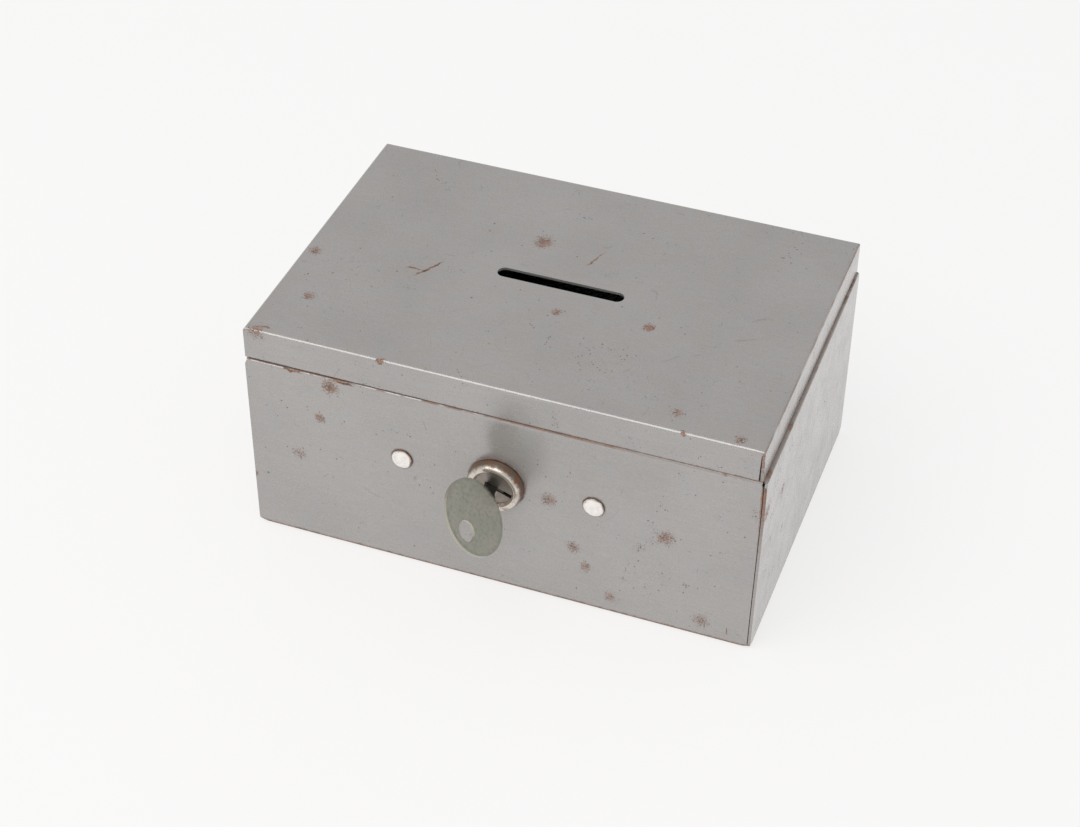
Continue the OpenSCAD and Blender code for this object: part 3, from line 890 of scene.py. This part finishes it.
def enamel_level(look, cloud, smudge, grain, brushed, grit):
    """How light the paint is, near 1: it drifts over the sheet, with grain and gritty smudges."""
    level = look.fade(cloud, 0.25, 0.75, 0.95, 1.03)
    level = look.plus(level, look.fade(smudge, 0.3, 0.7, -0.03, 0.025))
    level = look.plus(level, look.fade(grain, 0.2, 0.8, -0.07, 0.07))
    level = look.plus(level, look.fade(brushed, 0.3, 0.7, -0.02, 0.02))
    dirt = look.times(look.fade(grit, 0.54, 0.7), look.fade(smudge, 0.46, 0.6, 0.0, -0.16))
    return look.plus(level, dirt)


def enamel(name, scratches, patches, edges):
    """Worn grey enamel on sheet steel, with painted light that makes the faces which point sideways lighter.

    edges gives how far the paint is gone along cut edges and folds, with painted shade round the bezel and a
    painted dark reflection along the lid's right fold among them, and which faces carry the marks.
    """
    look = Look(name)
    wobble = look.vector("SUBTRACT", look.noise(2.2, 2.0, colour=True), (0.5, 0.5, 0.5))
    look.wavy = look.vector("ADD", look.place, look.vector("SCALE", wobble, scale=1.6))
    cloud = look.noise(34, 3.0)
    smudge = look.noise(7, 4.0, 0.6)
    dapple = look.noise(1.6, 3.0, 0.6)
    grit = look.noise(0.5, 3.0, 0.7)
    grain = look.noise(0.28, 1.0)
    brushed = look.noise(0.45, 2.0, 0.5, (16, 1, 1))
    ragged = look.minus(dapple, 0.5)
    # side picks the faces that point left and right, whose paint is made lighter as painted light.
    side = look.fade(look.math("ABSOLUTE", look.parts(look.facing)[0]), 0.6, 0.9)
    # worn holds worn paint along edges, seams and round the lock, and with it painted shade round the bezel
    # and a painted dark reflection along the lid's right fold.
    worn, outer = edges(look, ragged)
    scratch = look.times(look.ovals(scratches, ragged), outer)
    field = look.times(look.patches(patches), outer)
    field = look.plus(field, look.fade(smudge, 0.55, 0.75, 0.0, 0.35))
    patch = look.fade(look.plus(look.times(field, 0.29), grit), 0.64, 0.75)
    stain = look.fade(look.plus(field, look.times(ragged, 1.6)), 0.3, 1.0)
    fine, pits = enamel_specks(look, field, ragged)
    streak = look.fade(look.noise(0.7, 4.0, 0.65, (1, 1, 9)), 0.42, 0.7)
    streak = look.times(streak, look.fade(look.noise(9, 3.0), 0.35, 0.62))
    rust = look.most(look.times(patch, 0.85), scratch, worn)
    hair = look.band(look.noise(21, 0.5), 0.5, 0.004)
    hair = look.times(hair, look.fade(look.noise(5, 1.0), 0.56, 0.66))
    dark = look.most(look.times(fine, 0.75), look.times(pits, 0.7), look.times(hair, 0.25))
    level = enamel_level(look, cloud, smudge, grain, brushed, grit)
    # Painted light: faces pointing sideways get paint 1.2 to 1.36 times lighter, more so higher up, and less
    # along the vertical streaks, which are real scuffs.
    side_light_and_streaks = look.plus(look.fade(look.z, 10, 60, 1.2, 1.36), look.times(streak, -0.42))
    level = look.times(level, look.plus(1.0, look.times(side, look.minus(side_light_and_streaks, 1.0))))
    paint = look.mix(look.fade(smudge, 0.3, 0.75), PAINT_WARM, PAINT_COOL)
    paint = look.shade(paint, level)
    stained = look.mix(look.times(stain, 0.17), paint, STAIN)
    spotted = look.mix(dark, stained, look.mix(look.fade(field, 0.1, 0.6), GRIME, RUST_DARK))
    rusty = look.mix(look.fade(dapple, 0.35, 0.6), RUST_DARK, RUST)
    rusty = look.mix(look.fade(grain, 0.5, 0.7, 0.0, 0.7), rusty, RUST_PALE)
    colour = look.mix(rust, spotted, rusty)
    bare = look.most(rust, dark)
    look.raise_by(grain, 0.004)
    look.raise_by(smudge, 0.03)
    look.raise_by(brushed, 0.004)
    metallic = look.fade(bare, 0.0, 0.7, 0.55, 0.0)
    rough = look.plus(look.fade(smudge, 0.3, 0.7, 0.25, 0.31), look.fade(bare, 0.0, 0.6, 0.0, 0.35))
    return look.finish(colour, metallic, rough)


def no_edges(look, ragged):
    """No worn edges, and nothing that keeps marks off a face."""
    return 0.0, 1.0


def lid_edges(look, ragged):
    """Worn paint at the lid's lower edge and front right seam, and a patchy rust-coloured line along the
    right fold, which is painted dark reflection. Marks stay off its inside.
    """
    right = LID_CX + LID_X
    low = look.fade(look.plus(look.z, look.times(ragged, 1.0)), SPLIT_Z + 0.3, SPLIT_Z + 0.05)
    seam = look.fade(look.x, right - 1.0, right - 0.9)
    seam = look.times(seam, look.fade(look.y, -LID_Y + 0.25, -LID_Y + 0.1))
    # Painted reflection: a patchy dark rust-coloured line along the right fold, where the fold faces the
    # darker surroundings.
    fold = look.band(look.plus(look.x, look.times(ragged, 0.4)), right - 0.2, 0.3)
    fold = look.times(fold, look.fade(look.z, LID_TOP - 0.8, LID_TOP - 0.5))
    fold = look.times(fold, look.fade(look.noise(9, 2.0), 0.35, 0.6, 0.2, 0.6))
    seam = look.times(seam, look.fade(ragged, -0.12, 0.1, 0.25, 0.8))
    outer = look.most(
        look.fade(look.z, LID_TOP - 0.7, LID_TOP - 0.4),
        look.fade(look.y, -LID_Y + 0.6, -LID_Y + 0.3),
    )
    return look.most(look.times(low, 0.45), seam, fold), outer


def lock_rings(look, ragged):
    """Rust rings on the front wall round the two rivets, and a ring round the bezel that is partly rust and
    partly painted shade where the bezel meets the wall.
    """
    across = look.join(look.math("ABSOLUTE", look.x), look.z)
    from_rivet = look.vector("DISTANCE", across, (RIVET_X, LOCK_Z, 0.0))
    from_lock = look.vector("DISTANCE", across, (0.0, LOCK_Z, 0.0))
    rings = look.most(
        look.fade(look.plus(from_rivet, look.times(ragged, 0.7)), RIVET_R + 0.5, RIVET_R, 0.0, 0.75),
        # The ring round the bezel is partly rust and partly painted shade where the bezel meets the wall.
        look.fade(look.plus(from_lock, look.times(ragged, 1.0)), BEZEL_R + 0.6, BEZEL_R, 0.0, 0.75),
    )
    return look.times(rings, look.fade(look.y, FRONT_Y + 0.6, FRONT_Y + 0.3))


def body_edges(look, ragged):
    """Worn paint at the body's foot, front right seam, upper edge and lock, with painted shade in the ring
    round the bezel. Marks stay off its inside.
    """
    outside = look.most(
        look.fade(look.math("ABSOLUTE", look.x), BODY_X - 1.9, BODY_X - 1.5),
        look.fade(look.math("ABSOLUTE", look.y), BODY_Y - 0.7, BODY_Y - 0.4),
    )
    bottom = look.fade(look.plus(look.z, look.times(ragged, 0.9)), 1.5, 0.8)
    bottom = look.times(bottom, outside)
    seam = look.fade(look.plus(look.x, look.times(ragged, 0.8)), BODY_X - 1.5, BODY_X - 1.2)
    seam = look.times(seam, look.fade(look.y, FRONT_Y + 0.3, FRONT_Y + 0.1))
    seam = look.times(seam, look.fade(look.plus(look.z, look.times(ragged, 30)), 30, 62, 0.12, 0.9))
    ledge = look.fade(look.plus(look.z, look.times(ragged, 0.5)), BODY_TOP - 0.5, BODY_TOP - 0.1)
    left = look.fade(look.x, -38, -46)
    right = look.times(look.fade(look.x, -12, 4, 0.0, 0.8), look.fade(look.x, 45, 20, 0.45, 1.0))
    ledge = look.times(ledge, look.most(left, right, look.fade(look.noise(6, 3.0), 0.46, 0.62, 0.1, 0.8)))
    ledge = look.times(ledge, look.fade(look.z, BODY_TOP + 1.4, BODY_TOP + 0.3))
    return look.most(look.times(bottom, 0.8), seam, ledge, lock_rings(look, ragged)), outside


def metal(name, colour, other, rough, size, tarnish=0.5):
    """Bare or plated metal with a drifting tone, fine grain and spots of tarnish."""
    look = Look(name)
    cloud = look.noise(size, 4.0, 0.6)
    grain = look.noise(0.25, 2.0)
    spots = look.fade(look.noise(size * 0.5, 5.0, 0.7), 0.56, 0.7)
    toned = look.mix(look.fade(cloud, 0.3, 0.7), colour, other)
    toned = look.shade(toned, look.fade(grain, 0.2, 0.8, 0.94, 1.06))
    toned = look.mix(look.times(spots, tarnish), toned, RUST_PALE)
    look.raise_by(grain, 0.012)
    look.raise_by(cloud, 0.024)
    roughness = look.plus(look.fade(cloud, 0.3, 0.7, rough - 0.05, rough + 0.07), look.times(spots, 0.15))
    return look.finish(toned, 1.0, roughness)


def nickel(name, bright, brown_from, brown_to, wall_shade_reach):
    """Worn nickel plate that turns brown towards the wall that it stands on, and near black right at the
    wall, where this darkest band is painted shade.
    """
    look = Look(name)
    cloud = look.noise(2.2, 4.0, 0.65)
    grain = look.noise(0.22, 2.0)
    out = look.minus(FRONT_Y, look.y)
    uneven = look.times(look.minus(cloud, 0.5), brown_from)
    low = look.fade(look.plus(out, uneven), brown_from, brown_to)
    speckle = look.fade(look.noise(0.7, 4.0, 0.7), 0.58, 0.7)
    clean = look.mix(look.fade(cloud, 0.3, 0.7), bright, tuple(0.84 * c for c in bright))
    brown = look.mix(look.fade(look.noise(1.4, 3.0), 0.42, 0.62), BROWN, BROWN_RED)
    brown = look.mix(look.fade(grain, 0.5, 0.75, 0.0, 0.5), brown, BROWN_DARK)
    colour = look.mix(low, clean, brown)
    colour = look.mix(look.times(speckle, 0.4), colour, BROWN_SPECK)
    # Painted shade: close to the wall that it stands on, the plate is darkened almost to black.
    foot = look.fade(out, wall_shade_reach, wall_shade_reach * 0.5)
    colour = look.mix(look.times(foot, 0.95), colour, WALL_SHADE_BLACK)
    look.raise_by(grain, 0.006)
    look.raise_by(cloud, 0.03)
    rough = look.fade(look.most(low, speckle), 0.0, 1.0, 0.22, 0.42)
    return look.finish(colour, look.fade(look.most(low, foot), 0.0, 1.0, 1.0, 0.35), rough)


def patina():
    """Old key steel: grey-green, with painted shade that turns the neck black, pale where the bow's rim is
    worn.
    """
    look = Look("key_steel_worn")
    turned = look.vector("SUBTRACT", look.place, (0.0, 0.0, LOCK_Z))
    across = (math.cos(BOW_ANGLE), 0.0, math.sin(BOW_ANGLE))
    flat = look.join(look.vector("DOT_PRODUCT", turned, across), look.y)
    from_bow = look.vector("DISTANCE", flat, (BOW_U, BOW_Y, 0.0))
    from_hole = look.vector("DISTANCE", flat, (HOLE_U, HOLE_Y, 0.0))
    cloud = look.noise(5, 4.0, 0.6)
    scuff = look.noise(1.1, 4.0, 0.65)
    grain = look.noise(0.2, 2.0)
    ragged = look.times(look.minus(scuff, 0.5), 0.7)
    rim = look.fade(look.plus(from_bow, ragged), BOW_R - 0.22, BOW_R)
    ring = look.fade(look.plus(from_hole, ragged), HOLE_R + 0.3, HOLE_R + 0.05)
    worn = look.most(rim, ring)
    inner = look.fade(look.plus(from_bow, ragged), BOW_R - 1.3, BOW_R - 0.5)
    bow_end = BOW_Y + BOW_R
    # Painted shade: the neck, from the bow's end to the plug face, is darkened almost to black.
    neck = look.fade(look.plus(look.y, look.times(ragged, 2.0)), bow_end - 1.4, bow_end + 0.6)
    neck = look.times(neck, look.fade(look.y, NECK_Y + 2.5, NECK_Y + 0.5))
    base = look.mix(look.fade(cloud, 0.3, 0.7), KEY_GREY, KEY_PALE)
    base = look.mix(look.fade(scuff, 0.46, 0.66, 0.0, 0.6), base, KEY_GREEN)
    base = look.mix(look.times(look.fade(grain, 0.6, 0.75), 0.3), base, KEY_GLINT)
    base = look.mix(look.times(inner, 0.25), base, KEY_SHADE)
    colour = look.mix(look.times(worn, 0.6), base, KEY_WORN)
    colour = look.mix(look.times(neck, 0.95), colour, KEY_NECK_SHADOW)
    look.raise_by(scuff, 0.03)
    look.raise_by(grain, 0.008)
    rough = look.plus(look.fade(scuff, 0.3, 0.7, 0.40, 0.5), look.times(worn, -0.08))
    return look.finish(colour, look.fade(worn, 0.0, 1.0, 0.3, 0.8), rough)


lid_enamel = enamel("lid_enamel_worn", LID_SCRATCHES, LID_PATCHES, lid_edges)
body_enamel = enamel("body_enamel_worn", BODY_SCRATCHES, BODY_PATCHES, body_edges)
hinge_enamel = enamel("hinge_enamel_worn", [], [], no_edges)
bezel_nickel = nickel("bezel_nickel_worn", (0.78, 0.72, 0.65), 4.0, 2.2, 0.8)
rivet_nickel = nickel("rivet_nickel_worn", (0.97, 0.93, 0.89), 0.72, 0.42, 0.22)
key_steel = patina()
plug_metal = metal("plug_metal_dull", (0.30, 0.262, 0.23), (0.24, 0.215, 0.19), 0.4, 2.0)
zinc_steel = metal("zinc_steel_dull", (0.50, 0.50, 0.49), (0.40, 0.40, 0.40), 0.36, 6.0, tarnish=0.3)
brass = metal("brass_dull", (0.62, 0.44, 0.19), (0.50, 0.34, 0.14), 0.32, 2.0, tarnish=0.3)
spring_steel = metal("spring_steel_bright", (0.52, 0.52, 0.52), (0.42, 0.42, 0.43), 0.3, 1.0, tarnish=0.2)

KEPT = {
    "lid_catch": zinc_steel,
    "hinge_leaf_body": hinge_enamel,
    "hinge_leaf_lid": hinge_enamel,
    "hinge_pin": zinc_steel,
    "hinge_rivets_body": zinc_steel,
    "hinge_rivets_lid": zinc_steel,
    "lock_plate": zinc_steel,
    "lock_nut": zinc_steel,
    "lock_cam": zinc_steel,
    "cam_washer": zinc_steel,
    "cam_screw": zinc_steel,
    "lock_plug": plug_metal,
    "wafer_springs": spring_steel,
}
KEPT.update({f"wafer_{i + 1}": brass for i in range(len(CUTS))})
for node, material in KEPT.items():
    for material_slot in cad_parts[node].material_slots:
        material_slot.material = material

lid_shell()
body_tray()
lock_housing()
lock_rivets()
key()


# ---------------------------------------------------------------- floor, light and camera


# The floor is in millimetres, angles are degrees, and the target and distances are metres.
FLOOR_REACH = 3000
FLOOR_Z = -0.05
FLOOR_WHITE = (0.24, 0.237, 0.237)
FLOOR_GLOW = 0.71
TARGET = Vector((1.5, -20.2, 40.1)) * MM
CAMERA_AZIMUTH = 19.99
CAMERA_HEIGHT = 39.73
CAMERA_ROLL = 0.5
CAMERA_AWAY = 641.5 * MM
CAMERA_LENS = 74.88


def plain(name, colour, glow):
    """A pale, even material that gives a little light of its own."""
    look = Look(name)
    soft = look.fade(look.noise(260, 2.0), 0.3, 0.7, 0.995, 1.0)
    look.set(look.bsdf.inputs["Emission Color"], (1.0, 0.995, 0.99, 1.0))
    look.bsdf.inputs["Emission Strength"].default_value = glow
    look.bsdf.inputs["Specular IOR Level"].default_value = 0.0
    return look.finish(look.shade(colour, soft), 0.0, 1.0)


def studio_floor():
    """A wide, plain floor just below the box."""
    sheet = Sheet()
    grid = steps(8, -FLOOR_REACH, FLOOR_REACH)
    sheet.patch([[(x, y, FLOOR_Z) for x in grid] for y in grid])
    sheet.weld()
    sheet.build("studio_floor", plain("studio_floor_white", FLOOR_WHITE, FLOOR_GLOW))


def direction_at(azimuth, height):
    """Direction from the object, with azimuth 0 in front of it and 90 to its right."""
    a, e = math.radians(azimuth), math.radians(height)
    return Vector((math.sin(a) * math.cos(e), -math.cos(a) * math.cos(e), math.sin(e)))


def place_at(obj, direction, distance):
    """Puts a light or camera in a direction from the target, looking back at it."""
    obj.location = TARGET + direction * distance
    obj.rotation_mode = "QUATERNION"
    obj.rotation_quaternion = (-direction).to_track_quat("-Z", "Y")
    bpy.context.scene.collection.objects.link(obj)


def softbox(name, azimuth, height, distance, width, tall, power, tint):
    """A soft rectangular light that shines at the target, with its power in watts."""
    light = bpy.data.lights.new(name, "AREA")
    light.shape = "RECTANGLE"
    light.size = width
    light.size_y = tall
    light.energy = power
    light.color = tint
    place_at(bpy.data.objects.new(name, light), direction_at(azimuth, height), distance)


def studio_world():
    """An even sky, a little brighter at the horizon than overhead."""
    world = bpy.data.worlds.new("studio_world")
    bpy.context.scene.world = world
    world.use_nodes = True
    nodes, links = world.node_tree.nodes, world.node_tree.links
    up = nodes.new("ShaderNodeTexCoord")
    split = nodes.new("ShaderNodeSeparateXYZ")
    slope = nodes.new("ShaderNodeMapRange")
    slope.interpolation_type = "SMOOTHSTEP"
    slope.inputs["From Min"].default_value = 0.02
    slope.inputs["From Max"].default_value = 0.35
    slope.inputs["To Min"].default_value = 0.9
    slope.inputs["To Max"].default_value = 0.7
    links.new(up.outputs["Generated"], split.inputs[0])
    links.new(split.outputs[2], slope.inputs["Value"])
    links.new(slope.outputs[0], nodes["Background"].inputs["Strength"])
    nodes["Background"].inputs["Color"].default_value = (1.0, 0.995, 1.0, 1.0)


def studio_camera():
    """The camera, which looks at the target from the front right and above."""
    data = bpy.data.cameras.new("camera")
    data.sensor_width = 36
    data.lens = CAMERA_LENS
    data.clip_start = 0.01
    data.clip_end = 20
    camera = bpy.data.objects.new("camera", data)
    view_from = direction_at(CAMERA_AZIMUTH, CAMERA_HEIGHT)
    place_at(camera, view_from, CAMERA_AWAY)
    camera.rotation_quaternion.rotate(Quaternion(view_from, math.radians(CAMERA_ROLL)))
    bpy.context.scene.camera = camera


studio_floor()
softbox(
    "key_light",
    azimuth=-22,
    height=57,
    distance=1.4,
    width=1.4,
    tall=1.1,
    power=9.2,
    tint=(1.0, 0.985, 0.97),
)
studio_world()
studio_camera()
bpy.context.scene.view_settings.view_transform = "Standard"
